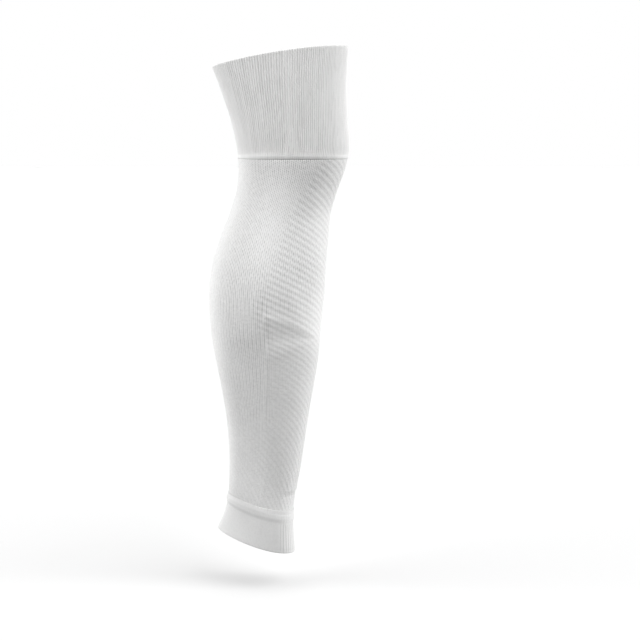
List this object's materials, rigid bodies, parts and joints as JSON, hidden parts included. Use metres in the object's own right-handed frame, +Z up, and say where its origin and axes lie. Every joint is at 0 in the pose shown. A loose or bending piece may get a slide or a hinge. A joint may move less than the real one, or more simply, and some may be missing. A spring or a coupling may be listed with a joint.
{
  "type": "footless football sock",
  "caption": "Knitted footless leg sleeve with a doubled ribbed knee cuff, a calf-shaped tube creased over the shin pad, and a rolled, flared ankle cuff.",
  "frame": {"origin": "centre of the leg at the fullest part of the calf", "axes": "+Z up the leg towards the knee, +X towards the shin, +Y across the leg"},
  "size_m": [0.1328, 0.1166, 0.4792],
  "materials": {
    "knee_rib_knit": "white fine vertical rib knit, matte",
    "leg_knit": "white knit with slanting ribs over the shin, matte",
    "ankle_rib_knit": "white smooth rib knit, matte"
  },
  "bodies": {
    "root": {"knee_cuff": "knee_rib_knit", "leg_tube": "leg_knit", "ankle_cuff": "ankle_rib_knit"}
  },
  "joints": []
}
